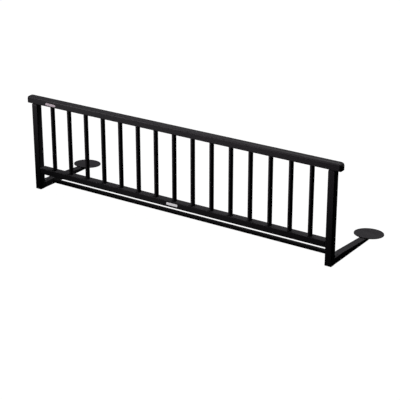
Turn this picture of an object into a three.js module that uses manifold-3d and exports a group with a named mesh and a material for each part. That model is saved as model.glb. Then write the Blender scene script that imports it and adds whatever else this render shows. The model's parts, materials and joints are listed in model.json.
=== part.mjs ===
// Wooden bed guard: a spindled panel on a fold-up leg frame that slides under a mattress.
//
// Millimetres, +X along the rails, +Y from the room side towards the mattress, +Z up.
// The origin is on the bed base, under the middle of the guard's bounding box.
//
// The panel (rails, posts, spindles) stands on its two posts. The leg frame (two tapered
// arms, a round crossbar and two discs) hangs on a butt hinge behind each post: the arms
// lie on the bed base in use, and fold up flat behind the panel for storage.

import * as THREE from 'three';
import { mergeVertices } from 'three/addons/utils/BufferGeometryUtils.js';
import Module from 'manifold-3d';

const wasm = await Module();
wasm.setup();

// ---------------------------------------------------------------- driving dimensions

const SEAT_GAP = 0.3; // glue line, or seating gap, between two pieces that touch
const GUARD_HEIGHT = 332;

const TOP_RAIL = {
  length: 1200, depth: 26, height: 25, upperEdge: 7, lowerEdge: 3, endCorner: 8, endUpperEdge: 11,
};
const POST = { width: 24, depth: 24, outerSpan: 1160, edge: 3, topEdge: 4, footEdge: 1 };
const BOTTOM_RAIL = { depth: 28, height: 22, underside: 58, edge: 3 };
const SPINDLE = { count: 15, pitch: 71.15, radius: 7.5, socket: 10 };
const RAIL_DOWEL = { radius: 4, length: 30, inRail: 12 };
const SIDE_DOWEL = { radius: 4, length: 32, inPost: 14 };

const ARM = { height: 22.5, length: 261, flat: 48, taper: 4, edge: 2 };
const CROSSBAR = { radius: 7.5, behindPost: 47.5, axisHeight: 11, socket: 12 };
const DISC = { radius: 48, thickness: 3.2, behindPost: 245, edge: 0.8 };

const HINGE = { axisOffset: 3.3, knuckleRadius: 3, pinRadius: 1.2, pinLength: 18, width: 17, leafLength: 24 };
const LEAF = { thickness: 1.5, middleKnuckle: 6, knuckleGap: 0.4, strapOverlap: 1 };
const SCREW = { headRadius: 2.8, headDepth: 1.4, shankRadius: 1.4, pointRadius: 0.56, tip: 2 };
const HINGE_SCREW_LENGTH = 12;
const HINGE_SCREW_FROM_AXIS = 15;
const DISC_SCREW_LENGTH = 10.5;
const CROSSBAR_SCREW_LENGTH = 13;

const RAIL_LABEL = { width: 42.5, height: 8, x: -495.7, z: 316 };
const BOTTOM_LABEL = { width: 43, height: 8.5, x: -2, z: 70 };
const LABEL_THICKNESS = 0.5;
const LABEL_CORNER = 2.8;

// How finely the round shapes are divided.
const SIDES = { spindle: 20, crossbar: 24, dowel: 16, bore: 20, pin: 16, knuckle: 20, screw: 12, disc: 64 };
const ARC_STEPS = 2; // an arc gets twice as many facets
const BEVEL_STEPS = 2;
const MERGE_DISTANCE = 1e-4;
const HOLE_MOUTH = 1; // how far a hole's cutter stands out of the surface

// ---------------------------------------------------------------- places worked out from them

const degrees = Math.PI / 180;
const postX = (POST.outerSpan - POST.width) / 2;
const postHeight = GUARD_HEIGHT - TOP_RAIL.height - SEAT_GAP;
const postBack = POST.depth / 2;
const bottomRailTop = BOTTOM_RAIL.underside + BOTTOM_RAIL.height;
const bottomRailLength = POST.outerSpan - 2 * POST.width - 2 * SEAT_GAP;
const bottomRailY = (BOTTOM_RAIL.depth - POST.depth) / 2;
const armFront = postBack + SEAT_GAP;
const crossbarY = postBack + CROSSBAR.behindPost;
const discY = postBack + DISC.behindPost;
const hingeY = postBack + HINGE.axisOffset;
const hingeZ = ARM.height + HINGE.axisOffset;
const taperSlope = Math.tan(ARM.taper * degrees);
const armTopAt = (y) => ARM.height - Math.max(0, y - armFront - ARM.flat) * taperSlope;

// ---------------------------------------------------------------- materials

const finishes = {
  lacquer: new THREE.MeshStandardMaterial({ color: 0x1c1b1d, roughness: 0.42, metalness: 0 }),
  disc: new THREE.MeshStandardMaterial({ color: 0x201f21, roughness: 0.4, metalness: 0 }),
  dowelWood: new THREE.MeshStandardMaterial({ color: 0xc9a876, roughness: 0.7, metalness: 0 }),
  steel: new THREE.MeshStandardMaterial({ color: 0x2a2a2c, roughness: 0.35, metalness: 0.9 }),
  zinc: new THREE.MeshStandardMaterial({ color: 0x9c9ea0, roughness: 0.35, metalness: 0.9 }),
  label: new THREE.MeshStandardMaterial({ color: 0xe9e6e4, roughness: 0.6, metalness: 0 }),
};

// ---------------------------------------------------------------- shape helpers

function toSolid(geometry) {
  const bare = geometry.clone();
  bare.deleteAttribute('normal');
  bare.deleteAttribute('uv');
  const merged = mergeVertices(bare, MERGE_DISTANCE);
  const vertProperties = new Float32Array(merged.attributes.position.array);
  const triVerts = new Uint32Array(merged.index.array);
  return new wasm.Manifold(new wasm.Mesh({ numProp: 3, vertProperties, triVerts }));
}

function toGeometry(solid) {
  const { vertProperties, triVerts } = solid.getMesh();
  const geometry = new THREE.BufferGeometry();
  geometry.setAttribute('position', new THREE.BufferAttribute(vertProperties, 3));
  geometry.setIndex(new THREE.BufferAttribute(triVerts, 1));
  geometry.computeVertexNormals();
  return geometry;
}

function cut(solid, cutters) {
  return cutters.reduce((rest, cutter) => rest.subtract(toSolid(cutter)), solid);
}

// A rectangle centred on the origin, its lower and upper corners rounded separately.
function roundedRectangle(width, height, lower, upper = lower) {
  const right = width / 2;
  const top = height / 2;
  const shape = new THREE.Shape();
  shape.moveTo(-right + lower, -top);
  shape.absarc(right - lower, -top + lower, lower, -90 * degrees, 0, false);
  shape.absarc(right - upper, top - upper, upper, 0, 90 * degrees, false);
  shape.absarc(-right + upper, top - upper, upper, 90 * degrees, 180 * degrees, false);
  shape.absarc(-right + lower, -top + lower, lower, 180 * degrees, 270 * degrees, false);
  return shape;
}

// Extrusions centred on the origin: the outline is seen from above, the end or the front.
function extrudeUp(planOutline, length) {
  const options = { depth: length, bevelEnabled: false, curveSegments: ARC_STEPS };
  return new THREE.ExtrudeGeometry(planOutline, options).translate(0, 0, -length / 2);
}

function extrudeAlongRail(endOutline, length) {
  return extrudeUp(endOutline, length).rotateX(90 * degrees).rotateZ(90 * degrees);
}

function extrudeBack(frontOutline, length) {
  return extrudeUp(frontOutline, length).rotateX(90 * degrees);
}

// A round rod centred on the origin, along x or z.
function rod(radius, length, axis, facets) {
  const geometry = new THREE.CylinderGeometry(radius, radius, length, facets);
  return axis === 'x' ? geometry.rotateZ(90 * degrees) : geometry.rotateX(90 * degrees);
}

// A bore for a round piece, wider and deeper than it by the seating gap.
function bore(radius, depth, axis) {
  return rod(radius + SEAT_GAP, 2 * (depth + SEAT_GAP), axis, SIDES.bore);
}

// A countersunk screw: the head's face is at the origin and the point is along -Z.
function screwProfile(length, gap) {
  const face = gap > 0 ? HOLE_MOUTH : 0;
  return [
    [0, -length - gap],
    [SCREW.pointRadius + gap, -length - gap],
    [SCREW.shankRadius + gap, -length + SCREW.tip],
    [SCREW.shankRadius + gap, -SCREW.headDepth - gap],
    [SCREW.headRadius + gap, -gap],
    [SCREW.headRadius + gap, face],
    [0, face],
  ].map(([radius, height]) => new THREE.Vector2(radius, height));
}

function screw(length) {
  return new THREE.LatheGeometry(screwProfile(length, 0), SIDES.screw).rotateX(90 * degrees);
}

function screwHole(length) {
  return new THREE.LatheGeometry(screwProfile(length, SEAT_GAP), SIDES.screw).rotateX(90 * degrees);
}

function piece(name, geometry, finish, x = 0, y = 0, z = 0) {
  const mesh = new THREE.Mesh(geometry, finishes[finish]);
  mesh.name = name;
  mesh.position.set(x, y, z);
  return mesh;
}

const ends = [
  { name: 'left', sign: -1 },
  { name: 'right', sign: 1 },
];

// ---------------------------------------------------------------- panel: rails, posts, spindles

const spindleXs = Array.from(
  { length: SPINDLE.count },
  (_, index) => (index - (SPINDLE.count - 1) / 2) * SPINDLE.pitch,
);

// Made around the middle of its underside.
function makeTopRail() {
  const { length, depth, height, upperEdge, lowerEdge, endCorner, endUpperEdge } = TOP_RAIL;
  const block = toSolid(extrudeAlongRail(roundedRectangle(depth, height, lowerEdge, upperEdge), length))
    .intersect(toSolid(extrudeUp(roundedRectangle(length, depth, endCorner), height)))
    .intersect(toSolid(extrudeBack(roundedRectangle(length, height, lowerEdge, endUpperEdge), depth)))
    .translate([0, 0, height / 2]);
  const sockets = spindleXs.map((x) => bore(SPINDLE.radius, SPINDLE.socket, 'z').translate(x, 0, 0));
  const dowelHoles = ends.map(({ sign }) => (
    bore(RAIL_DOWEL.radius, RAIL_DOWEL.inRail, 'z').translate(sign * postX, 0, 0)
  ));
  return toGeometry(cut(block, [...sockets, ...dowelHoles]));
}

// Made around the middle of its top face.
function makeBottomRail() {
  const { depth, height, edge } = BOTTOM_RAIL;
  const block = toSolid(extrudeAlongRail(roundedRectangle(depth, height, edge), bottomRailLength))
    .translate([0, 0, -height / 2]);
  const sockets = spindleXs.map((x) => (
    bore(SPINDLE.radius, SPINDLE.socket, 'z').translate(x, -bottomRailY, 0)
  ));
  const dowelHoles = ends.map(({ sign }) => (
    bore(SIDE_DOWEL.radius, SIDE_DOWEL.length - SIDE_DOWEL.inPost, 'x')
      .translate(sign * bottomRailLength / 2, -bottomRailY, -height / 2)
  ));
  return toGeometry(cut(block, [...sockets, ...dowelHoles]));
}

// Made around the middle of its foot.
function makePost(sign) {
  const { width, depth, edge, topEdge, footEdge } = POST;
  const block = toSolid(extrudeUp(roundedRectangle(width, depth, edge), postHeight))
    .intersect(toSolid(extrudeBack(roundedRectangle(width, postHeight, footEdge, topEdge), depth)))
    .intersect(toSolid(extrudeAlongRail(roundedRectangle(depth, postHeight, footEdge, topEdge), width)))
    .translate([0, 0, postHeight / 2]);
  const railDowelHole = bore(RAIL_DOWEL.radius, RAIL_DOWEL.length - RAIL_DOWEL.inRail, 'z')
    .translate(0, 0, postHeight);
  const sideDowelHole = bore(SIDE_DOWEL.radius, SIDE_DOWEL.inPost, 'x')
    .translate(-sign * width / 2, 0, BOTTOM_RAIL.underside + BOTTOM_RAIL.height / 2);
  const hingeScrewHole = screwHole(HINGE_SCREW_LENGTH)
    .rotateX(-90 * degrees)
    .translate(0, postBack + SEAT_GAP + LEAF.thickness, hingeZ + HINGE_SCREW_FROM_AXIS);
  return toGeometry(cut(block, [railDowelHole, sideDowelHole, hingeScrewHole]));
}

function makeLabel({ width, height }) {
  return extrudeBack(roundedRectangle(width, height, LABEL_CORNER), LABEL_THICKNESS);
}

function makePanel() {
  const panel = new THREE.Group();
  const underRail = GUARD_HEIGHT - TOP_RAIL.height;
  panel.add(piece('top_rail', makeTopRail(), 'lacquer', 0, 0, underRail));
  panel.add(piece('bottom_rail', makeBottomRail(), 'lacquer', 0, bottomRailY, bottomRailTop));

  const spindleFoot = bottomRailTop - SPINDLE.socket;
  const spindleLength = underRail + SPINDLE.socket - spindleFoot;
  spindleXs.forEach((x, index) => {
    const name = `spindle_${String(index + 1).padStart(2, '0')}`;
    const middle = spindleFoot + spindleLength / 2;
    const spindle = rod(SPINDLE.radius, spindleLength, 'z', SIDES.spindle);
    panel.add(piece(name, spindle, 'lacquer', x, 0, middle));
  });

  for (const { name, sign } of ends) {
    const x = sign * postX;
    panel.add(piece(`${name}_post`, makePost(sign), 'lacquer', x, 0, 0));

    const railDowelMiddle = underRail + RAIL_DOWEL.inRail - RAIL_DOWEL.length / 2;
    const railDowel = rod(RAIL_DOWEL.radius, RAIL_DOWEL.length, 'z', SIDES.dowel);
    panel.add(piece(`${name}_post_dowel`, railDowel, 'dowelWood', x, 0, railDowelMiddle));

    const postInside = sign * (postX - POST.width / 2);
    const sideDowelMiddle = postInside + sign * (SIDE_DOWEL.inPost - SIDE_DOWEL.length / 2);
    const sideDowel = rod(SIDE_DOWEL.radius, SIDE_DOWEL.length, 'x', SIDES.dowel);
    const sideDowelZ = BOTTOM_RAIL.underside + BOTTOM_RAIL.height / 2;
    panel.add(piece(`${name}_bottom_rail_dowel`, sideDowel, 'dowelWood', sideDowelMiddle, 0, sideDowelZ));
  }

  const labelSetback = SEAT_GAP + LABEL_THICKNESS / 2;
  const topLabelY = -TOP_RAIL.depth / 2 - labelSetback;
  const bottomLabelY = bottomRailY - BOTTOM_RAIL.depth / 2 - labelSetback;
  panel.add(piece('top_rail_label', makeLabel(RAIL_LABEL), 'label', RAIL_LABEL.x, topLabelY, RAIL_LABEL.z));
  panel.add(piece(
    'bottom_rail_label', makeLabel(BOTTOM_LABEL), 'label', BOTTOM_LABEL.x, bottomLabelY, BOTTOM_LABEL.z,
  ));
  return panel;
}

// ---------------------------------------------------------------- leg frame: arms, crossbar, discs

// Side outline of an arm, y along it from its front end, z up from the bed base.
function armOutline() {
  const { height, length, flat } = ARM;
  const shape = new THREE.Shape();
  shape.moveTo(0, 0);
  shape.lineTo(length, 0);
  shape.lineTo(length, armTopAt(armFront + length));
  shape.lineTo(flat, height);
  shape.lineTo(0, height);
  shape.closePath();
  return shape;
}

// Made around the middle of its front end's foot.
function makeArm(sign) {
  const { edge } = ARM;
  const bevel = {
    depth: POST.width - 2 * edge,
    bevelEnabled: true,
    bevelThickness: edge,
    bevelSize: edge,
    bevelOffset: -edge,
    bevelSegments: BEVEL_STEPS,
  };
  const block = toSolid(
    new THREE.ExtrudeGeometry(armOutline(), bevel)
      .translate(0, 0, -POST.width / 2 + edge)
      .rotateX(90 * degrees)
      .rotateZ(90 * degrees),
  );
  const crossbarSocket = bore(CROSSBAR.radius, CROSSBAR.socket, 'x')
    .translate(-sign * POST.width / 2, crossbarY - armFront, CROSSBAR.axisHeight);
  const crossbarScrewHole = screwHole(CROSSBAR_SCREW_LENGTH)
    .rotateX(180 * degrees)
    .translate(-sign * (POST.width - CROSSBAR.socket) / 2, crossbarY - armFront, SEAT_GAP);
  const discScrewHole = screwHole(DISC_SCREW_LENGTH)
    .rotateX(180 * degrees)
    .translate(0, discY - armFront, SEAT_GAP);
  const hingeScrewHole = screwHole(HINGE_SCREW_LENGTH)
    .translate(0, hingeY + HINGE_SCREW_FROM_AXIS - armFront, ARM.height + SEAT_GAP + LEAF.thickness);
  return toGeometry(cut(block, [crossbarSocket, crossbarScrewHole, discScrewHole, hingeScrewHole]));
}

// Made around its middle, and cut by the two screws that lock its ends in the arms.
function makeCrossbar(length) {
  const holes = ends.map(({ sign }) => (
    screwHole(CROSSBAR_SCREW_LENGTH)
      .rotateX(180 * degrees)
      .translate(sign * (length - CROSSBAR.socket) / 2, 0, SEAT_GAP - CROSSBAR.axisHeight)
  ));
  return toGeometry(cut(toSolid(rod(CROSSBAR.radius, length, 'x', SIDES.crossbar)), holes));
}

// Made around the middle of its underside, with a softened rim.
function makeDisc(screwHoleGeometry) {
  const { radius, thickness, edge } = DISC;
  const profile = [
    [0, 0],
    [radius - edge, 0],
    [radius, edge],
    [radius, thickness - edge],
    [radius - edge, thickness],
    [0, thickness],
  ].map(([out, up]) => new THREE.Vector2(out, up));
  const blank = new THREE.LatheGeometry(profile, SIDES.disc).rotateX(90 * degrees);
  return toGeometry(cut(toSolid(blank), [screwHoleGeometry]));
}

function makeLegFrame() {
  const legs = new THREE.Group();
  const crossbarLength = POST.outerSpan - 2 * POST.width + 2 * CROSSBAR.socket;
  legs.add(piece('crossbar', makeCrossbar(crossbarLength), 'lacquer', 0, crossbarY, CROSSBAR.axisHeight));

  // The discs lie on the sloping tops of the arms.
  const tilt = -ARM.taper * degrees;
  const discSeat = new THREE.Vector3(0, discY, armTopAt(discY) + SEAT_GAP / Math.cos(tilt));
  const discScrewHole = screwHole(DISC_SCREW_LENGTH)
    .rotateX(180 * degrees)
    .translate(0, 0, SEAT_GAP - discSeat.z)
    .rotateX(-tilt);

  for (const { name, sign } of ends) {
    const x = sign * postX;
    legs.add(piece(`${name}_arm`, makeArm(sign), 'lacquer', x, armFront, 0));

    const seat = new THREE.Group();
    seat.position.set(x, discSeat.y, discSeat.z);
    seat.rotation.x = tilt;
    seat.add(piece(`${name}_disc`, makeDisc(discScrewHole), 'disc'));
    legs.add(seat);

    const discScrew = screw(DISC_SCREW_LENGTH).rotateX(180 * degrees);
    legs.add(piece(`${name}_disc_screw`, discScrew, 'zinc', x, discY, SEAT_GAP));

    const crossbarScrew = screw(CROSSBAR_SCREW_LENGTH).rotateX(180 * degrees);
    const screwX = x - sign * (POST.width - CROSSBAR.socket) / 2;
    legs.add(piece(`${name}_crossbar_screw`, crossbarScrew, 'zinc', screwX, crossbarY, SEAT_GAP));
  }
  return legs;
}

// ---------------------------------------------------------------- hinges

// A butt hinge leaf made around the pin: the plate stands up behind the post, and its
// knuckles are the two outer ones or the middle one.
function makeLeaf(outerKnuckles) {
  const { axisOffset, knuckleRadius, pinRadius, width, leafLength } = HINGE;
  const { thickness, middleKnuckle, knuckleGap, strapOverlap } = LEAF;
  const plateBack = -axisOffset + SEAT_GAP;
  const plateHeight = leafLength - knuckleRadius - SEAT_GAP;
  const clearOfBarrel = knuckleRadius + SEAT_GAP;
  const strapHeight = clearOfBarrel + strapOverlap;
  const plate = new THREE.BoxGeometry(width, thickness, plateHeight)
    .translate(0, plateBack + thickness / 2, clearOfBarrel + plateHeight / 2);
  const outerLength = (width - middleKnuckle) / 2 - knuckleGap;
  const spans = outerKnuckles
    ? ends.map(({ sign }) => ({ middle: sign * (width - outerLength) / 2, length: outerLength }))
    : [{ middle: 0, length: middleKnuckle }];
  let leaf = toSolid(plate);
  for (const { middle, length } of spans) {
    const barrel = rod(knuckleRadius, length, 'x', SIDES.knuckle).translate(middle, 0, 0);
    const strap = new THREE.BoxGeometry(length, thickness, strapHeight)
      .translate(middle, plateBack + thickness / 2, strapHeight / 2);
    leaf = leaf.add(toSolid(barrel)).add(toSolid(strap));
  }
  const pinBore = rod(pinRadius + SEAT_GAP, 2 * width, 'x', SIDES.pin);
  const screwBore = screwHole(HINGE_SCREW_LENGTH)
    .rotateX(-90 * degrees)
    .translate(0, plateBack + thickness, HINGE_SCREW_FROM_AXIS);
  return toGeometry(cut(leaf, [pinBore, screwBore]));
}

function addHinges(panel, legs) {
  for (const { name, sign } of ends) {
    const x = sign * postX;
    panel.add(piece(`${name}_hinge_post_leaf`, makeLeaf(true), 'steel', x, hingeY, hingeZ));
    const pin = rod(HINGE.pinRadius, HINGE.pinLength, 'x', SIDES.pin);
    panel.add(piece(`${name}_hinge_pin`, pin, 'zinc', x, hingeY, hingeZ));
    const postScrew = screw(HINGE_SCREW_LENGTH).rotateX(-90 * degrees);
    const postScrewY = postBack + SEAT_GAP + LEAF.thickness;
    const postScrewZ = hingeZ + HINGE_SCREW_FROM_AXIS;
    panel.add(piece(`${name}_hinge_post_screw`, postScrew, 'zinc', x, postScrewY, postScrewZ));

    // The arm's leaf is the same plate laid down on top of the arm.
    const armLeaf = piece(`${name}_hinge_arm_leaf`, makeLeaf(false), 'steel', x, hingeY, hingeZ);
    armLeaf.rotation.set(90 * degrees, 0, 180 * degrees, 'ZYX');
    legs.add(armLeaf);
    const armScrewY = hingeY + HINGE_SCREW_FROM_AXIS;
    const armScrewZ = ARM.height + SEAT_GAP + LEAF.thickness;
    legs.add(piece(`${name}_hinge_arm_screw`, screw(HINGE_SCREW_LENGTH), 'zinc', x, armScrewY, armScrewZ));
  }
}

// ---------------------------------------------------------------- assembly

const guard = new THREE.Group();
const panel = makePanel();
const legFrame = makeLegFrame();
addHinges(panel, legFrame);
guard.add(panel, legFrame);

const box = new THREE.Box3().setFromObject(guard, true);
guard.position.y = -(box.min.y + box.max.y) / 2;

export default guard;
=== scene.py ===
"""Bed guard, the looks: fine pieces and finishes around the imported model. Metres, +Z up."""

import json
import math

import bmesh
import bpy
from mathutils import Matrix, Vector


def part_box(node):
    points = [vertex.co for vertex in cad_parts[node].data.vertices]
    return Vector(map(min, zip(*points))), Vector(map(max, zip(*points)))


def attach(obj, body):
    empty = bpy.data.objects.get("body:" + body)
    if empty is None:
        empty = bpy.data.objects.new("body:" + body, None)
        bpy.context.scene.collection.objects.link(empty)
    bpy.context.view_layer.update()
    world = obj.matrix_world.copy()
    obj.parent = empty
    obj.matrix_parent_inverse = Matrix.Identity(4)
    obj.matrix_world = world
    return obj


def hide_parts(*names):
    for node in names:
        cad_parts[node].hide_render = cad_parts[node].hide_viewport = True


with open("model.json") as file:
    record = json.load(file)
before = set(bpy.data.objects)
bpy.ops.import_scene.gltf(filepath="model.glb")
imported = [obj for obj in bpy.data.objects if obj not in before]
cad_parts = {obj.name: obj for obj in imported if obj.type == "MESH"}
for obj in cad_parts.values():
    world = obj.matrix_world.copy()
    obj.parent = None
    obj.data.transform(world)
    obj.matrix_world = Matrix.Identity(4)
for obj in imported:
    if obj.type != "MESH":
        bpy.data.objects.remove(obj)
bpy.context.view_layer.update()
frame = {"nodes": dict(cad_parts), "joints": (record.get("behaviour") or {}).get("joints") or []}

MM = 0.001

# ---------------------------------------------------------------- sizes that the boxes don't give

CLEARANCE = 0.3 * MM
HALF = 0.5

TOP_RAIL_UPPER_EDGE = 7 * MM
TOP_RAIL_LOWER_EDGE = 3 * MM
TOP_RAIL_END_CORNER = 8 * MM
TOP_RAIL_END_UPPER_EDGE = 11 * MM
BOTTOM_RAIL_EDGE = 3 * MM
BOTTOM_RAIL_END_EDGE = 0.6 * MM
POST_EDGE = 3 * MM
POST_TOP_EDGE = 4 * MM
POST_FOOT_EDGE = 1 * MM
ARM_FLAT = 48 * MM
ARM_TAPER = math.radians(4)
ARM_EDGE = 2 * MM
ARM_END_EDGE = 1.2 * MM
ROUND_STOCK_END_EDGE = 0.8 * MM
DISC_THICKNESS = 3.2 * MM
DISC_EDGE = 0.9 * MM
LABEL_CORNER = 2.8 * MM
LABEL_EDGE = 0.12 * MM
BORE_END_EDGE = 0.2 * MM

DOWEL_FLUTES = 12
DOWEL_FLUTE_DEPTH = 0.25 * MM
DOWEL_CHAMFER = 0.7 * MM

SCREW_HEAD_RADIUS = 2.8 * MM
SCREW_HEAD_DEPTH = 1.4 * MM
SCREW_HEAD_BEVEL = 0.15 * MM
SCREW_RIM_TOP = 0.04 * MM
SCREW_RIM_FOOT = 0.12 * MM
SCREW_SHANK_RADIUS = 1.4 * MM
SCREW_SHANK_FOOT = 1.2 * SCREW_HEAD_DEPTH
SCREW_ROOT_RADIUS = 1.05 * MM
SCREW_ROOT_TOP = 1.5 * SCREW_HEAD_DEPTH
SCREW_TIP = 2 * MM
SCREW_POINT = 0.2 * MM
SCREW_POINT_RADIUS = 0.3 * SCREW_ROOT_RADIUS
SCREW_HOLE_POINT_RADIUS = 0.4 * SCREW_SHANK_RADIUS
SCREW_HOLE_MOUTH = 1 * MM
THREAD_TOP = 1.7 * SCREW_HEAD_DEPTH
THREAD_PITCH = 0.9 * MM
THREAD_STEEPNESS = 4
RECESS_REACH = 1.5 * MM
RECESS_HALF_WIDTH = 0.32 * MM
RECESS_DEPTH = 1.1 * MM

KNUCKLE_RADIUS = 3 * MM
PIN_RADIUS = 1.2 * MM
PIN_END_EDGE = 0.5 * MM
LEAF_THICKNESS = 1.5 * MM
LEAF_CORNER = 2 * MM
LEAF_EDGE = 0.2 * MM
MIDDLE_KNUCKLE = 6 * MM
KNUCKLE_GAP = 0.4 * MM
NOTCH_SIZE = 3 * KNUCKLE_RADIUS
CUTTER_EDGE = 0.1 * MM

# How finely the round shapes are divided: sides around an axis, steps along an arc.
ROUND_SIDES = 64
DISC_SIDES = 128
BORE_SIDES = 48
SCREW_SIDES = 32
SIDES_PER_FLUTE = 6
STEPS_PER_THREAD_TURN = 12
EDGE_STEPS = 6
TOP_RAIL_EDGE_STEPS = 8
BAR_END_STEPS = 4
SMALL_EDGE_STEPS = 3
ROLL_STEPS = 40

# Shading: corners sharper than this angle stay sharp, and large faces set the normals next to them.
SMOOTH_ANGLE = math.radians(35)
LARGE_FACE_WEIGHT = 100

SIDES = {"left": -1, "right": 1}
SPINDLES = sorted(name for name in frame["nodes"] if name.startswith("spindle_"))
HINGE_AXIS = Vector(frame["joints"][0]["pos_m"])

scene = bpy.context.scene


def middle(node):
    low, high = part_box(node)
    return (low + high) * HALF


def at_middle(node):
    return Matrix.Translation(middle(node))


def extent(node):
    low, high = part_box(node)
    return high - low


def inner_x(node, sign):
    """Where a node of the side with this sign ends along X, towards the middle of the guard."""
    low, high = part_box(node)
    return low.x if sign > 0 else high.x


def outer_x(node, sign):
    """Where a node of the side with this sign ends along X, away from the middle of the guard."""
    low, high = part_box(node)
    return high.x if sign > 0 else low.x


# ---------------------------------------------------------------- mesh helpers

def mesh_from(bm, name):
    bmesh.ops.recalc_face_normals(bm, faces=bm.faces)
    mesh = bpy.data.meshes.new(name)
    bm.to_mesh(mesh)
    bm.free()
    return mesh


def new_object(name, mesh, place=Matrix.Identity(4)):
    thing = bpy.data.objects.new(name, mesh)
    thing.matrix_world = place
    scene.collection.objects.link(thing)
    return thing


def apply_modifiers(thing):
    bpy.context.view_layer.update()
    evaluated = thing.evaluated_get(bpy.context.evaluated_depsgraph_get())
    mesh = bpy.data.meshes.new_from_object(evaluated)
    old_mesh = thing.data
    thing.modifiers.clear()
    thing.data = mesh
    bpy.data.meshes.remove(old_mesh)


def move(x, y, z):
    return Matrix.Translation((x, y, z))


def turn(degrees, axis):
    return Matrix.Rotation(math.radians(degrees), 4, axis)


TO_X = turn(90, "Y")
FACING_UP = Matrix.Identity(4)
FACING_DOWN = turn(180, "X")
FACING_BACK = turn(-90, "X")
# Turns a prism whose outline is drawn along Y and up Z, so that its own axis becomes X.
SIDE_ON = Matrix(((0, 0, 1, 0), (1, 0, 0, 0), (0, 1, 0, 0), (0, 0, 0, 1)))


def prism(outline, depth):
    """A closed outline in the XY plane, raised to +depth/2 and -depth/2 along Z."""
    bm = bmesh.new()
    rings = []
    for z in (-depth * HALF, depth * HALF):
        rings.append([bm.verts.new((x, y, z)) for x, y in outline])
    count = len(outline)
    for i in range(count):
        j = (i + 1) % count
        bm.faces.new((rings[0][i], rings[0][j], rings[1][j], rings[1][i]))
    bm.faces.new(list(reversed(rings[0])))
    bm.faces.new(rings[1])
    return bm


def lathe(profile, sides=ROUND_SIDES):
    """Turns (radius, height) points around Z: a solid, if they start and end on the axis."""
    bm = bmesh.new()
    angles = [2 * math.pi * i / sides for i in range(sides)]
    rings = []
    for radius, height in profile:
        if radius == 0:
            rings.append([bm.verts.new((0, 0, height))])
            continue
        points = [(radius * math.cos(a), radius * math.sin(a), height) for a in angles]
        rings.append([bm.verts.new(point) for point in points])
    for lower, upper in zip(rings, rings[1:]):
        for i in range(sides):
            j = (i + 1) % sides
            below = [lower[i % len(lower)], lower[j % len(lower)]]
            above = [upper[j % len(upper)], upper[i % len(upper)]]
            # Where a ring is one point on the axis, the face is a triangle.
            bm.faces.new(list(dict.fromkeys(below + above)))
    return bm


def arc(centre, radius, start, end, steps=EDGE_STEPS):
    """Points on an arc, angles in degrees."""
    angles = [math.radians(start + (end - start) * i / steps) for i in range(steps + 1)]
    return [(centre[0] + radius * math.cos(a), centre[1] + radius * math.sin(a)) for a in angles]


def round_bar(radius, length, end_edge):
    """The profile of a straight round bar with softened ends, its middle on the origin."""
    half = length * HALF
    foot = arc((radius - end_edge, -half + end_edge), end_edge, -90, 0, BAR_END_STEPS)
    head = arc((radius - end_edge, half - end_edge), end_edge, 0, 90, BAR_END_STEPS)
    return [(0, -half), *foot, *head, (0, half)]


def rounded_rectangle(width, height, radius):
    right = width * HALF - radius
    top = height * HALF - radius
    return [
        *arc((right, top), radius, 0, 90),
        *arc((-right, top), radius, 90, 180),
        *arc((-right, -top), radius, 180, 270),
        *arc((right, -top), radius, 270, 360),
    ]


def runs_along(direction, axis):
    """Whether an edge runs within 60 degrees of one of its piece's own axes."""
    return abs(getattr(direction, axis)) > HALF


def round_edges(thing, radius_of, steps=EDGE_STEPS):
    """Rounds each edge by what radius_of(its middle, its direction) says."""
    bm = bmesh.new()
    bm.from_mesh(thing.data)
    layer = bm.edges.layers.float.new("bevel_weight_edge")
    radii = {}
    for edge in bm.edges:
        start, end = (v.co for v in edge.verts)
        radii[edge] = radius_of((start + end) / 2, (end - start).normalized())
    widest = max(radii.values())
    for edge, radius in radii.items():
        edge[layer] = radius / widest
    bm.to_mesh(thing.data)
    bm.free()
    bevel = thing.modifiers.new("rounding", "BEVEL")
    bevel.limit_method = "WEIGHT"
    bevel.width = widest
    bevel.segments = steps
    bevel.use_clamp_overlap = False
    apply_modifiers(thing)


def cut(thing, cutters):
    """Cuts the cutters out of a solid, and removes them."""
    for tool in cutters:
        modifier = thing.modifiers.new("cut", "BOOLEAN")
        modifier.operation = "DIFFERENCE"
        modifier.solver = "EXACT"
        modifier.object = tool
    apply_modifiers(thing)
    for tool in cutters:
        bpy.data.objects.remove(tool)


def cutter(bm, place):
    return new_object("cutter", mesh_from(bm, "cutter"), place)


def bore(radius, depth, place):
    """A cutter for a blind round hole: centred on the hole's mouth, it reaches depth to each side."""
    profile = round_bar(radius + CLEARANCE, 2 * (depth + CLEARANCE), BORE_END_EDGE)
    return cutter(lathe(profile, BORE_SIDES), place)


def upright_bore(node, mouth, end):
    """A cutter for the hole that takes an upright round piece, from one height to another."""
    centre = middle(node)
    return bore(extent(node).x * HALF, abs(end - mouth), move(centre.x, centre.y, mouth))


def level_bore(node, mouth, end):
    """A cutter for the hole that takes a round piece lying along X, from one X to another."""
    centre = middle(node)
    return bore(extent(node).z * HALF, abs(end - mouth), move(mouth, centre.y, centre.z) @ TO_X)


def smooth(thing):
    """Smooth shading, with flat faces kept flat and corners kept sharp."""
    mesh = thing.data
    mesh.polygons.foreach_set("use_smooth", [True] * len(mesh.polygons))
    mesh.set_sharp_from_angle(angle=SMOOTH_ANGLE)
    weighted = thing.modifiers.new("even_normals", "WEIGHTED_NORMAL")
    weighted.keep_sharp = True
    weighted.weight = LARGE_FACE_WEIGHT


# ---------------------------------------------------------------- finishes

# Bands of values that a finish spreads out with remap. A noise has nearly all its values in FULL_BAND.
WHOLE = (0, 1)
FULL_BAND = (0.3, 0.7)
CLOUD_BAND = (0.35, 0.75)
LABEL_BAND = (0.35, 0.65)
PORE_BAND = (0.35, 0.5)
FLECK_BAND = (0.6, 0.72)
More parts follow.
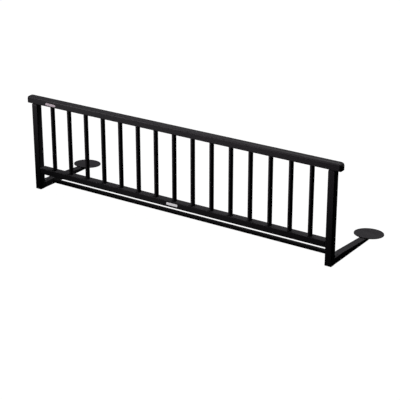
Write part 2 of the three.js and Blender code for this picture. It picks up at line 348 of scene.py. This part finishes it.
# How nearly the rounded and the true normal agree, on a flat face and on an edge.
EDGE_BAND = (0.99, 0.86)
EDGE_SAMPLES = 6

BLACK_DEEP = (0.0237, 0.0222, 0.0246)
BLACK_PALE = (0.0287, 0.0268, 0.0298)
CLOUD_TONE = 1.25
CLOUD_SHARE = 0.35
# Paler edges on the lacquer: partly wear where the film is thin on the arrises, partly a painted highlight.
WEAR_AND_SHEEN_TONE = 1.9
WEAR_AND_SHEEN_SHARE = 0.4
WEAR_AND_SHEEN_EDGE = 0.9 * MM
SMOOTHER = 0.05
ROUGHER = 0.06
GRAIN_DEPTH = 0.05 * MM
PORE_TO_GRAIN_DEPTH = 0.7
DISC_GRAIN_DEPTH = 0.03 * MM
FILM_DEPTH = 0.02 * MM

BEECH_DARK = (0.52, 0.34, 0.19)
BEECH_PALE = (0.68, 0.49, 0.31)
BEECH_FLECK = (0.36, 0.21, 0.11)
FLECK_SHARE = 0.7
BARE_GRAIN_DEPTH = 0.08 * MM

PAINT_DEEP = (0.018, 0.018, 0.019)
PAINT_PALE = (0.034, 0.034, 0.036)
RUBBED_STEEL = (0.22, 0.22, 0.23)
RUBBED_SHARE = 0.75
RUBBED_EDGE = 0.3 * MM
PAINT_DEPTH = 0.03 * MM

ZINC_DARK = (0.44, 0.45, 0.47)
ZINC_PALE = (0.6, 0.6, 0.58)
ZINC_METALLIC = 0.95
TURNING_DEPTH = 0.015 * MM

ROSY_SHADOWED = (0.86, 0.73, 0.79)
ROSY_BRIGHT = (0.95, 0.84, 0.89)
WHITE_SHADOWED = (0.84, 0.83, 0.85)
WHITE_BRIGHT = (0.94, 0.93, 0.95)
LABEL_DEPTH = 0.02 * MM

EVENLY = (1, 1, 1)
AROUND_AXIS = (0.2, 0.2, 6)


def new_finish(name):
    material = bpy.data.materials.new(name)
    material.use_nodes = True
    return material, material.node_tree, material.node_tree.nodes["Principled BSDF"]


def along(axis, squeeze):
    """Scales for a texture's coordinates that draw it out along one axis, the more the smaller squeeze is."""
    return tuple(squeeze if axis == name else 1 for name in "XYZ")


def noise(tree, proportions, scale, detail=3, roughness=0.5):
    """Noise in the piece's own coordinates, which differs from piece to piece by its grain_seed."""
    source = tree.nodes.new("ShaderNodeTexCoord")
    mapping = tree.nodes.new("ShaderNodeMapping")
    mapping.inputs["Scale"].default_value = proportions
    tree.links.new(source.outputs["Object"], mapping.inputs["Vector"])
    seed = tree.nodes.new("ShaderNodeAttribute")
    seed.attribute_type = "OBJECT"
    seed.attribute_name = "grain_seed"
    texture = tree.nodes.new("ShaderNodeTexNoise")
    texture.noise_dimensions = "4D"
    texture.inputs["Scale"].default_value = scale
    texture.inputs["Detail"].default_value = detail
    texture.inputs["Roughness"].default_value = roughness
    tree.links.new(mapping.outputs["Vector"], texture.inputs["Vector"])
    tree.links.new(seed.outputs["Fac"], texture.inputs["W"])
    return texture.outputs["Fac"]


def remap(tree, value, band, to_low=0, to_high=1):
    """Spreads a band of a value over another range, and holds it there beyond the band."""
    node = tree.nodes.new("ShaderNodeMapRange")
    for name, number in zip(("From Min", "From Max", "To Min", "To Max"), (*band, to_low, to_high)):
        node.inputs[name].default_value = number
    tree.links.new(value, node.inputs["Value"])
    return node.outputs["Result"]


def mix_colours(tree, factor, first, second):
    node = tree.nodes.new("ShaderNodeMix")
    node.data_type = "RGBA"
    tree.links.new(factor, node.inputs["Factor"])
    colour_inputs = [socket for socket in node.inputs if socket.type == "RGBA"]
    for socket, colour in zip(colour_inputs, (first, second)):
        if isinstance(colour, bpy.types.NodeSocket):
            tree.links.new(colour, socket)
        else:
            socket.default_value = (*colour, 1)
    return next(socket for socket in node.outputs if socket.type == "RGBA")


def bump(tree, height, distance, strength=1, onto=None):
    node = tree.nodes.new("ShaderNodeBump")
    node.inputs["Distance"].default_value = distance
    node.inputs["Strength"].default_value = strength
    tree.links.new(height, node.inputs["Height"])
    if onto is not None:
        tree.links.new(onto, node.inputs["Normal"])
    return node.outputs["Normal"]


def edge_mask(tree, radius):
    """1 on a rounded or sharp edge, 0 on a flat face."""
    rounded = tree.nodes.new("ShaderNodeBevel")
    rounded.samples = EDGE_SAMPLES
    rounded.inputs["Radius"].default_value = radius
    geometry = tree.nodes.new("ShaderNodeNewGeometry")
    facing = tree.nodes.new("ShaderNodeVectorMath")
    facing.operation = "DOT_PRODUCT"
    tree.links.new(rounded.outputs["Normal"], facing.inputs[0])
    tree.links.new(geometry.outputs["Normal"], facing.inputs[1])
    return remap(tree, facing.outputs["Value"], EDGE_BAND)


def toned(colour, amount):
    return tuple(channel * amount for channel in colour)


def black_lacquer(name, grain, tone=1, roughness=0.55, grain_depth=GRAIN_DEPTH, shine=0.22):
    """Satin black lacquer over wood: the grain and pores just show through the film."""
    material, tree, shader = new_finish(name)
    deep = toned(BLACK_DEEP, tone)
    pale = toned(BLACK_PALE, tone)
    streaks = noise(tree, along(grain, squeeze=0.05), scale=420, detail=5, roughness=0.6)
    clouds = noise(tree, along(grain, squeeze=0.25), scale=22)
    pores = noise(tree, along(grain, squeeze=0.035), scale=1500, detail=2)
    film = noise(tree, EVENLY, scale=260, detail=2)

    shade = mix_colours(tree, remap(tree, streaks, FULL_BAND), deep, pale)
    cloudiness = remap(tree, clouds, CLOUD_BAND, to_high=CLOUD_SHARE)
    cloudy = mix_colours(tree, cloudiness, shade, toned(pale, CLOUD_TONE))
    # Edges made paler: partly wear of the thin film on the arrises, partly a painted highlight standing in
    # for sheen.
    wear_and_sheen = remap(tree, edge_mask(tree, WEAR_AND_SHEEN_EDGE), WHOLE, to_high=WEAR_AND_SHEEN_SHARE)
    edged = mix_colours(tree, wear_and_sheen, cloudy, toned(pale, WEAR_AND_SHEEN_TONE))
    satin = remap(tree, clouds, FULL_BAND, to_low=roughness - SMOOTHER, to_high=roughness + ROUGHER)
    tree.links.new(edged, shader.inputs["Base Color"])
    tree.links.new(satin, shader.inputs["Roughness"])
    shader.inputs["Specular IOR Level"].default_value = shine

    grain_relief = bump(tree, streaks, grain_depth)
    pore_depth = grain_depth * PORE_TO_GRAIN_DEPTH
    pore_relief = bump(tree, remap(tree, pores, PORE_BAND), pore_depth, strength=0.8, onto=grain_relief)
    film_relief = bump(tree, film, FILM_DEPTH, strength=0.5, onto=pore_relief)
    tree.links.new(film_relief, shader.inputs["Normal"])
    return material


def beech(name, grain):
    """Bare beech: warm, with fine darker flecks along the grain."""
    material, tree, shader = new_finish(name)
    streaks = noise(tree, along(grain, squeeze=0.06), scale=500, detail=5, roughness=0.6)
    flecks = noise(tree, along(grain, squeeze=0.1), scale=2200, detail=1)
    base = mix_colours(tree, remap(tree, streaks, FULL_BAND), BEECH_DARK, BEECH_PALE)
    fleckiness = remap(tree, flecks, FLECK_BAND, to_high=FLECK_SHARE)
    flecked = mix_colours(tree, fleckiness, base, BEECH_FLECK)
    matt = remap(tree, streaks, FULL_BAND, to_low=0.55, to_high=0.7)
    tree.links.new(flecked, shader.inputs["Base Color"])
    tree.links.new(matt, shader.inputs["Roughness"])
    tree.links.new(bump(tree, streaks, BARE_GRAIN_DEPTH), shader.inputs["Normal"])
    return material


def painted_steel(name):
    """Thin black paint on pressed steel, rubbed bright on its edges."""
    material, tree, shader = new_finish(name)
    specks = noise(tree, EVENLY, scale=1800)
    rubbed = remap(tree, edge_mask(tree, RUBBED_EDGE), WHOLE, to_high=RUBBED_SHARE)
    paint = mix_colours(tree, remap(tree, specks, FULL_BAND), PAINT_DEEP, PAINT_PALE)
    coat = mix_colours(tree, rubbed, paint, RUBBED_STEEL)
    metal = remap(tree, rubbed, WHOLE, to_low=0.15, to_high=0.95)
    sheen = remap(tree, specks, FULL_BAND, to_low=0.36, to_high=0.5)
    tree.links.new(coat, shader.inputs["Base Color"])
    tree.links.new(metal, shader.inputs["Metallic"])
    tree.links.new(sheen, shader.inputs["Roughness"])
    tree.links.new(bump(tree, specks, PAINT_DEPTH), shader.inputs["Normal"])
    return material


def zinc_plate(name):
    """Passivated zinc: grey, faintly cloudy, with turning marks around the axis."""
    material, tree, shader = new_finish(name)
    clouds = noise(tree, EVENLY, scale=700, detail=4)
    rings = noise(tree, AROUND_AXIS, scale=1500, detail=2)
    tint = mix_colours(tree, remap(tree, clouds, FULL_BAND), ZINC_DARK, ZINC_PALE)
    sheen = remap(tree, clouds, FULL_BAND, to_low=0.24, to_high=0.42)
    tree.links.new(tint, shader.inputs["Base Color"])
    tree.links.new(sheen, shader.inputs["Roughness"])
    tree.links.new(bump(tree, rings, TURNING_DEPTH), shader.inputs["Normal"])
    shader.inputs["Metallic"].default_value = ZINC_METALLIC
    return material


def sticker(name, shadowed, bright, painted_glow):
    """Plain label film without any print, faintly cloudy. Its glow is painted light: the label shines by
    itself though it is no lamp, so it stays light on the black lacquer.
    """
    material, tree, shader = new_finish(name)
    fibres = noise(tree, EVENLY, scale=900, detail=4)
    clouds = noise(tree, EVENLY, scale=90, detail=2)
    base = mix_colours(tree, remap(tree, clouds, LABEL_BAND), shadowed, bright)
    sheen = remap(tree, fibres, FULL_BAND, to_low=0.38, to_high=0.52)
    tree.links.new(base, shader.inputs["Base Color"])
    tree.links.new(base, shader.inputs["Emission Color"])
    shader.inputs["Emission Strength"].default_value = painted_glow
    tree.links.new(sheen, shader.inputs["Roughness"])
    tree.links.new(bump(tree, fibres, LABEL_DEPTH, strength=0.6), shader.inputs["Normal"])
    return material


# Each finish with the record's material slot. A grain axis is one of the piece's own axes.
# The crossbar's lacquer is much darker and less shiny than the rest: painted shade, for the shadow that falls
# on it under the bottom rail.
CROSSBAR_PAINTED_SHADE_LACQUER = black_lacquer("crossbar_lacquer", "Z", tone=0.2, roughness=0.5, shine=0.08)
DISC_LACQUER = black_lacquer("disc_lacquer", "X", tone=1.2, roughness=0.52, grain_depth=DISC_GRAIN_DEPTH)
FINISHES = {
    "lacquer_X": (black_lacquer("lacquer_along_x", "X"), "lacquered_wood"),
    "lacquer_Z": (black_lacquer("lacquer_along_z", "Z"), "lacquered_wood"),
    "crossbar": (CROSSBAR_PAINTED_SHADE_LACQUER, "lacquered_wood"),
    "disc": (DISC_LACQUER, "disc"),
    "beech_Z": (beech("beech_along_z", "Z"), "dowel_wood"),
    "steel": (painted_steel("painted_steel"), "hinge_steel"),
    "zinc": (zinc_plate("zinc_plate"), "zinc"),
    # The labels glow though they are no lamps: painted light that keeps them bright on the black, the white
    # one on the bottom rail most of all.
    "rosy_label": (sticker("rosy_sticker", ROSY_SHADOWED, ROSY_BRIGHT, painted_glow=0.06), "label"),
    "white_label": (sticker("white_sticker", WHITE_SHADOWED, WHITE_BRIGHT, painted_glow=0.42), "label"),
}
LABELS = {"top_rail_label": "rosy_label", "bottom_rail_label": "white_label"}
# A piece's grain_seed comes from the letters of its name, each weighted by its place in it.
FIRST_LETTER_WEIGHT = 3
GRAIN_SEEDS = 97


def dress(thing, finish, body):
    """Finishes a piece, rides it on its body and puts it in place of the CAD node it is named after."""
    node = thing.name.removesuffix("_fine")
    material, slot = FINISHES[finish]
    thing.data.materials.clear()
    thing.data.materials.append(material)
    weighted_letters = [ord(letter) * weight for weight, letter in enumerate(node, FIRST_LETTER_WEIGHT)]
    thing["grain_seed"] = float(sum(weighted_letters) % GRAIN_SEEDS)
    smooth(thing)
    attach(thing, body)
    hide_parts(node)


def fine(node, bm, place):
    return new_object(f"{node}_fine", mesh_from(bm, node), place)


# ---------------------------------------------------------------- panel

def block(node):
    """A plain block as large as the node's box, centred on the object's origin."""
    size = extent(node)
    right = size.x * HALF
    back = size.y * HALF
    outline = [(-right, -back), (right, -back), (right, back), (-right, back)]
    return fine(node, prism(outline, size.z), at_middle(node))


def spindle_sockets(rail):
    """Cutters for the round sockets that hold the spindles' ends."""
    low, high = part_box(rail)
    cutters = []
    for name in SPINDLES:
        foot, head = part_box(name)
        is_above = middle(name).z > high.z
        mouth = high.z if is_above else low.z
        end = foot.z if is_above else head.z
        cutters.append(upright_bore(name, mouth, end))
    return cutters


def make_top_rail():
    rail = block("top_rail")

    def radius_of(where, direction):
        if runs_along(direction, "z"):
            return TOP_RAIL_END_CORNER
        if where.z < 0:
            return TOP_RAIL_LOWER_EDGE
        return TOP_RAIL_END_UPPER_EDGE if runs_along(direction, "y") else TOP_RAIL_UPPER_EDGE

    round_edges(rail, radius_of, TOP_RAIL_EDGE_STEPS)
    cutters = spindle_sockets("top_rail")
    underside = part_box("top_rail")[0].z
    for side in SIDES:
        dowel = f"{side}_post_dowel"
        dowel_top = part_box(dowel)[1].z
        cutters.append(upright_bore(dowel, underside, dowel_top))
    cut(rail, cutters)
    dress(rail, "lacquer_X", "panel")


def make_bottom_rail():
    rail = block("bottom_rail")

    def radius_of(where, direction):
        return BOTTOM_RAIL_EDGE if runs_along(direction, "x") else BOTTOM_RAIL_END_EDGE

    round_edges(rail, radius_of)
    cutters = spindle_sockets("bottom_rail")
    for side, sign in SIDES.items():
        dowel = f"{side}_bottom_rail_dowel"
        cutters.append(level_bore(dowel, outer_x("bottom_rail", sign), inner_x(dowel, sign)))
    cut(rail, cutters)
    dress(rail, "lacquer_X", "panel")


def screw_place(screw_node, outwards):
    """The middle of the screw's head, with the head's face turned outwards."""
    direction = outwards @ Vector((0, 0, 1))
    head = middle(screw_node) + direction * (max(extent(screw_node)) * HALF)
    return Matrix.Translation(head) @ outwards


def screw_hole(screw_node, outwards):
    """A countersunk cutter for a screw whose head faces the direction that outwards turns +Z to."""
    length = max(extent(screw_node))
    shank = SCREW_SHANK_RADIUS + CLEARANCE
    head = SCREW_HEAD_RADIUS + CLEARANCE
    profile = [
        (0, -length - CLEARANCE),
        (SCREW_HOLE_POINT_RADIUS + CLEARANCE, -length - CLEARANCE),
        (shank, -length + SCREW_TIP),
        (shank, -SCREW_HEAD_DEPTH - CLEARANCE),
        (head, -CLEARANCE),
        (head, SCREW_HOLE_MOUTH),
        (0, SCREW_HOLE_MOUTH),
    ]
    return cutter(lathe(profile, SCREW_SIDES), screw_place(screw_node, outwards))


def make_posts():
    def radius_of(where, direction):
        if runs_along(direction, "z"):
            return POST_EDGE
        return POST_TOP_EDGE if where.z > 0 else POST_FOOT_EDGE

    for side, sign in SIDES.items():
        node = f"{side}_post"
        post = block(node)
        round_edges(post, radius_of)
        top_dowel = f"{side}_post_dowel"
        side_dowel = f"{side}_bottom_rail_dowel"
        post_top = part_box(node)[1].z
        dowel_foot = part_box(top_dowel)[0].z
        cutters = [
            upright_bore(top_dowel, post_top, dowel_foot),
            level_bore(side_dowel, inner_x(node, sign), outer_x(side_dowel, sign)),
            screw_hole(f"{side}_hinge_post_screw", FACING_BACK),
        ]
        cut(post, cutters)
        dress(post, "lacquer_Z", "panel")


def make_spindles():
    for name in SPINDLES:
        size = extent(name)
        profile = round_bar(size.x * HALF, size.z, ROUND_STOCK_END_EDGE)
        bar = fine(name, lathe(profile), at_middle(name))
        dress(bar, "lacquer_Z", "panel")


def make_dowel(node, turned):
    """A fluted beech dowel with chamfered ends, turned from +Z to the direction it lies in."""
    size = extent(node)
    length = max(size)
    radius = min(size) * HALF
    sides = DOWEL_FLUTES * SIDES_PER_FLUTE
    chamfered = HALF - DOWEL_CHAMFER / length
    bm = bmesh.new()
    rings = []
    for height, shrink in ((-HALF, DOWEL_CHAMFER), (-chamfered, 0), (chamfered, 0), (HALF, DOWEL_CHAMFER)):
        ring = []
        for i in range(sides):
            angle = 2 * math.pi * i / sides
            hollow = DOWEL_FLUTE_DEPTH * max(0, math.cos(DOWEL_FLUTES * angle)) ** 2
            reach = radius - shrink - hollow
            ring.append(bm.verts.new((reach * math.cos(angle), reach * math.sin(angle), height * length)))
        rings.append(ring)
    for lower, upper in zip(rings, rings[1:]):
        for i in range(sides):
            j = (i + 1) % sides
            bm.faces.new((lower[i], lower[j], upper[j], upper[i]))
    bm.faces.new(list(reversed(rings[0])))
    bm.faces.new(rings[-1])
    dress(fine(node, bm, at_middle(node) @ turned), "beech_Z", "panel")


def make_dowels():
    for side in SIDES:
        make_dowel(f"{side}_post_dowel", FACING_UP)
        make_dowel(f"{side}_bottom_rail_dowel", TO_X)


def make_labels():
    def radius_of(where, direction):
        return 0.0 if runs_along(direction, "z") else LABEL_EDGE

    for node, finish in LABELS.items():
        size = extent(node)
        outline = rounded_rectangle(size.x, size.z, LABEL_CORNER)
        label = fine(node, prism(outline, size.y), at_middle(node) @ turn(90, "X"))
        round_edges(label, radius_of, SMALL_EDGE_STEPS)
        dress(label, finish, "panel")


# ---------------------------------------------------------------- leg frame

def make_arms():
    def radius_of(where, direction):
        if not runs_along(direction, "z"):
            return ARM_EDGE
        is_ridge = abs(where.x - ARM_FLAT) < MM
        return 0.0 if is_ridge else ARM_END_EDGE

    for side, sign in SIDES.items():
        node = f"{side}_arm"
        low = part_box(node)[0]
        size = extent(node)
        back_height = size.z - (size.y - ARM_FLAT) * math.tan(ARM_TAPER)
        outline = [(0, 0), (size.y, 0), (size.y, back_height), (ARM_FLAT, size.z), (0, size.z)]
        arm = fine(node, prism(outline, size.x), move(middle(node).x, low.y, low.z) @ SIDE_ON)
        round_edges(arm, radius_of)
        cutters = [
            level_bore("crossbar", inner_x(node, sign), outer_x("crossbar", sign)),
            screw_hole(f"{side}_crossbar_screw", FACING_DOWN),
            screw_hole(f"{side}_disc_screw", FACING_DOWN),
            screw_hole(f"{side}_hinge_arm_screw", FACING_UP),
        ]
        cut(arm, cutters)
        dress(arm, "lacquer_X", "leg_frame")


def make_crossbar():
    size = extent("crossbar")
    place = at_middle("crossbar") @ TO_X
    bar = fine("crossbar", lathe(round_bar(size.z * HALF, size.x, ROUND_STOCK_END_EDGE)), place)
    cut(bar, [screw_hole(f"{side}_crossbar_screw", FACING_DOWN) for side in SIDES])
    # The crossbar's darker finish is painted shade.
    dress(bar, "crossbar", "leg_frame")


def make_discs():
    for side in SIDES:
        node = f"{side}_disc"
        radius = extent(node).x * HALF
        half = DISC_THICKNESS * HALF
        profile = [
            (0, -half),
            *arc((radius - DISC_EDGE, -half + DISC_EDGE), DISC_EDGE, -90, 0),
            *arc((radius - DISC_EDGE, half - DISC_EDGE), DISC_EDGE, 0, 90),
            (0, half),
        ]
        place = at_middle(node) @ Matrix.Rotation(-ARM_TAPER, 4, "X")
        disc = fine(node, lathe(profile, DISC_SIDES), place)
        cut(disc, [screw_hole(f"{side}_disc_screw", FACING_DOWN)])
        dress(disc, "disc", "leg_frame")


# ---------------------------------------------------------------- hinges and screws

def make_leaf(node, place, screw, outer_knuckles, body):
    """A butt hinge leaf rolled around its pin: the plate stands along +Z at its own -Y."""
    width = extent(node).x
    height = max(extent(node).y, extent(node).z) - KNUCKLE_RADIUS
    plate_inside = LEAF_THICKNESS - KNUCKLE_RADIUS
    roll_end = 360 + math.degrees(math.acos(plate_inside / KNUCKLE_RADIUS))
    roll = arc((0, 0), KNUCKLE_RADIUS, 180, roll_end, ROLL_STEPS)
    outline = [*roll, (plate_inside, height), (-KNUCKLE_RADIUS, height)]
    leaf = fine(node, prism(outline, width), place @ SIDE_ON)

    corners_start = height - LEAF_CORNER - LEAF_EDGE

    def corner_radius_of(where, direction):
        return LEAF_CORNER if where.y > corners_start and runs_along(direction, "x") else 0.0

    def edge_radius_of(where, direction):
        axis = "x" if where.y > corners_start else "z"
        return 0.0 if runs_along(direction, axis) else LEAF_EDGE

    round_edges(leaf, corner_radius_of)
    round_edges(leaf, edge_radius_of, SMALL_EDGE_STEPS)

    pin_bore = lathe(round_bar(PIN_RADIUS + CLEARANCE, 2 * width, CUTTER_EDGE), BORE_SIDES)
    cutters = [screw, cutter(pin_bore, place @ TO_X)]
    cutters += knuckle_notches(width, place, outer_knuckles)
    cut(leaf, cutters)
    dress(leaf, "steel", body)


def knuckle_notches(width, place, outer_knuckles):
    """Cutters that make room in a leaf's roll for the other leaf's knuckles."""
    if outer_knuckles:
        lengths = {0: MIDDLE_KNUCKLE + 2 * KNUCKLE_GAP}
    else:
        outer_length = (width - MIDDLE_KNUCKLE) * HALF
        outer_middle = MIDDLE_KNUCKLE * HALF + outer_length
        lengths = {-outer_middle: 2 * outer_length, outer_middle: 2 * outer_length}
    height = KNUCKLE_RADIUS + CLEARANCE - NOTCH_SIZE * HALF
    notches = []
    for centre, length in lengths.items():
        notch = prism(rounded_rectangle(length, NOTCH_SIZE, CUTTER_EDGE), NOTCH_SIZE)
        notches.append(cutter(notch, place @ move(centre, 0, height) @ turn(90, "X")))
    return notches


# Turns a leaf that stands along +Z so that it lies along +Y, its plate still on the outside.
LAID_DOWN = Matrix(((-1, 0, 0, 0), (0, 0, 1, 0), (0, 1, 0, 0), (0, 0, 0, 1)))


def make_hinges():
    for side in SIDES:
        pin = f"{side}_hinge_pin"
        place = move(middle(pin).x, HINGE_AXIS.y, HINGE_AXIS.z)
        post_leaf = f"{side}_hinge_post_leaf"
        post_screw = screw_hole(f"{side}_hinge_post_screw", FACING_BACK)
        make_leaf(post_leaf, place, post_screw, outer_knuckles=True, body="panel")
        arm_leaf = f"{side}_hinge_arm_leaf"
        arm_screw = screw_hole(f"{side}_hinge_arm_screw", FACING_UP)
        make_leaf(arm_leaf, place @ LAID_DOWN, arm_screw, outer_knuckles=False, body="leg_frame")
        size = extent(pin)
        profile = round_bar(size.z * HALF, size.x, PIN_END_EDGE)
        dress(fine(pin, lathe(profile, BORE_SIDES), place @ TO_X), "zinc", "panel")


def cross_outline(reach, half_width):
    """A cross with four equal arms, one corner of it drawn and turned by quarters."""
    outline = []
    for quarter in range(4):
        quarter_turn = Matrix.Rotation(math.radians(90 * quarter), 2)
        for corner in ((reach, -half_width), (reach, half_width), (half_width, half_width)):
            outline.append(tuple(quarter_turn @ Vector(corner)))
    return outline


def make_screw(node, outwards, body):
    """A countersunk wood screw with a helical thread and a cross recess."""
    length = max(extent(node))
    root_foot = -length + SCREW_TIP
    tip = [(0, -length), (SCREW_POINT_RADIUS, -length + SCREW_POINT), (SCREW_ROOT_RADIUS, root_foot)]
    turns = (length - THREAD_TOP - SCREW_TIP) / THREAD_PITCH
    thread = []
    for i in range(1, int(turns * STEPS_PER_THREAD_TURN)):
        thread.append((SCREW_ROOT_RADIUS, root_foot + i * THREAD_PITCH / STEPS_PER_THREAD_TURN))
    head = [
        (SCREW_ROOT_RADIUS, -SCREW_ROOT_TOP),
        (SCREW_SHANK_RADIUS, -SCREW_SHANK_FOOT),
        (SCREW_SHANK_RADIUS, -SCREW_HEAD_DEPTH),
        (SCREW_HEAD_RADIUS, -SCREW_RIM_FOOT),
        (SCREW_HEAD_RADIUS, -SCREW_RIM_TOP),
        (SCREW_HEAD_RADIUS - SCREW_HEAD_BEVEL, 0),
        (0, 0),
    ]
    bm = lathe([*tip, *thread, *head], SCREW_SIDES)
    raise_thread(bm, length)
    place = screw_place(node, outwards)
    screw = fine(node, bm, place)
    cut(screw, [cutter(prism(cross_outline(RECESS_REACH, RECESS_HALF_WIDTH), 2 * RECESS_DEPTH), place)])
    dress(screw, "zinc", body)


def raise_thread(bm, length):
    """Moves each point of the shank outwards where the helix passes it, less and less towards the tip."""
    for vertex in bm.verts:
        if not -length < vertex.co.z < -THREAD_TOP:
            continue
        angle = math.atan2(vertex.co.y, vertex.co.x)
        phase = (vertex.co.z / THREAD_PITCH - angle / (2 * math.pi)) % 1
        rise = max(0, 1 - abs(phase - HALF) * THREAD_STEEPNESS)
        taper = min(1, (vertex.co.z + length) / SCREW_TIP)
        reach = (SCREW_SHANK_RADIUS - SCREW_ROOT_RADIUS) * rise * taper
        outwards = Vector((vertex.co.x, vertex.co.y, 0)).normalized()
        vertex.co += outwards * reach


def make_screws():
    for side in SIDES:
        make_screw(f"{side}_hinge_post_screw", FACING_BACK, "panel")
        make_screw(f"{side}_hinge_arm_screw", FACING_UP, "leg_frame")
        make_screw(f"{side}_crossbar_screw", FACING_DOWN, "leg_frame")
        make_screw(f"{side}_disc_screw", FACING_DOWN, "leg_frame")


# ---------------------------------------------------------------- stage, lights and camera

FLOOR_RADIUS = 9
COVE_RADIUS = 4
COVE_STEPS = 12
WALL_TOP = 9
STAGE_SIDES = 96
FLOOR_GREY = (0.05, 0.05, 0.05, 1)
FLOOR_GLOW = (1, 1, 1, 1)
FLOOR_ROUGHNESS = 0.9
FLOOR_SHINE = 0.1


def make_stage():
    """A round floor, glowing white, that curves up into a wall all around, well away from the guard."""
    cove = arc((FLOOR_RADIUS, COVE_RADIUS), COVE_RADIUS, -90, 0, COVE_STEPS)
    profile = [(0, 0), *cove, (FLOOR_RADIUS + COVE_RADIUS, WALL_TOP)]
    stage = new_object("studio_floor", mesh_from(lathe(profile, STAGE_SIDES), "studio_floor"))
    stage.data.polygons.foreach_set("use_smooth", [True] * len(stage.data.polygons))
    stage.data.flip_normals()
    material, _, shader = new_finish("pale_floor")
    shader.inputs["Base Color"].default_value = FLOOR_GREY
    shader.inputs["Roughness"].default_value = FLOOR_ROUGHNESS
    shader.inputs["Specular IOR Level"].default_value = FLOOR_SHINE
    shader.inputs["Emission Color"].default_value = FLOOR_GLOW
    shader.inputs["Emission Strength"].default_value = 1
    stage.data.materials.append(material)
    # The floor neither lights nor shades the guard, so the lacquer keeps its deep blacks.
    stage.visible_diffuse = False
    stage.visible_glossy = False
    stage.visible_shadow = False


WHITE = (1, 1, 1)
FAINT_ROSE = (1, 0.96, 1)
ROSE = (1, 0.86, 0.98)
LOW_LEFT = (-2.3, -1.8, 0.65)


def make_sky(strength):
    """A trace of even light from all round."""
    world = bpy.data.worlds.new("studio")
    scene.world = world
    world.use_nodes = True
    background = world.node_tree.nodes["Background"]
    background.inputs["Color"].default_value = (*WHITE, 1)
    background.inputs["Strength"].default_value = strength


def add_light(lamp, place, target, colour, power):
    lamp.color = colour
    lamp.energy = power
    light = bpy.data.objects.new(lamp.name, lamp)
    light.location = place
    light.rotation_mode = "QUATERNION"
    light.rotation_quaternion = (Vector(target) - Vector(place)).to_track_quat("-Z", "Y")
    scene.collection.objects.link(light)


def make_softbox(name, place, target, side, power):
    lamp = bpy.data.lights.new(name, "AREA")
    lamp.shape = "SQUARE"
    lamp.size = side
    add_light(lamp, place, target, WHITE, power)


def make_gridded_light(name, target, radius, beam, power, colour):
    """A round soft source low on the left, whose pool of light fades out from its middle."""
    lamp = bpy.data.lights.new(name, "SPOT")
    lamp.shadow_soft_size = radius
    lamp.spot_size = math.radians(beam)
    lamp.spot_blend = 1
    add_light(lamp, LOW_LEFT, target, colour, power)


def make_lights():
    make_sky(strength=0.002)
    make_softbox("overhead", place=(0, 0.8, 4.3), target=(0, -0.05, 0.2), side=1.7, power=160)
    make_softbox("behind", place=(0.6, 3, 0.35), target=(0, 0, 0.15), side=1.2, power=5)
    panel_middle = (-0.1, -0.15, 0.5)
    rail_end = (0.45, -0.15, 0.52)
    make_gridded_light("left_front", panel_middle, radius=0.15, beam=26, power=195, colour=FAINT_ROSE)
    make_gridded_light("right_end", rail_end, radius=0.2, beam=12, power=215, colour=ROSE)


CAMERA_PLACE = Vector((2.188, -3.228, 1.6))
CAMERA_TURN = math.radians(34.13)
CAMERA_TILT = math.radians(21.88)
CAMERA_LENS_MM = 114.2
CAMERA_SENSOR_MM = 36


def make_camera():
    camera_data = bpy.data.cameras.new("camera")
    camera_data.lens = CAMERA_LENS_MM
    camera_data.sensor_width = CAMERA_SENSOR_MM
    camera = bpy.data.objects.new("camera", camera_data)
    forward = Vector((
        -math.sin(CAMERA_TURN) * math.cos(CAMERA_TILT),
        math.cos(CAMERA_TURN) * math.cos(CAMERA_TILT),
        -math.sin(CAMERA_TILT),
    ))
    camera.location = CAMERA_PLACE
    camera.rotation_mode = "QUATERNION"
    camera.rotation_quaternion = forward.to_track_quat("-Z", "Y")
    scene.collection.objects.link(camera)
    scene.camera = camera


# ---------------------------------------------------------------- everything

make_camera()
make_stage()
make_lights()
scene.view_settings.view_transform = "Standard"

make_top_rail()
make_bottom_rail()
make_posts()
make_spindles()
make_labels()
make_dowels()
make_arms()
make_crossbar()
make_discs()
make_hinges()
make_screws()
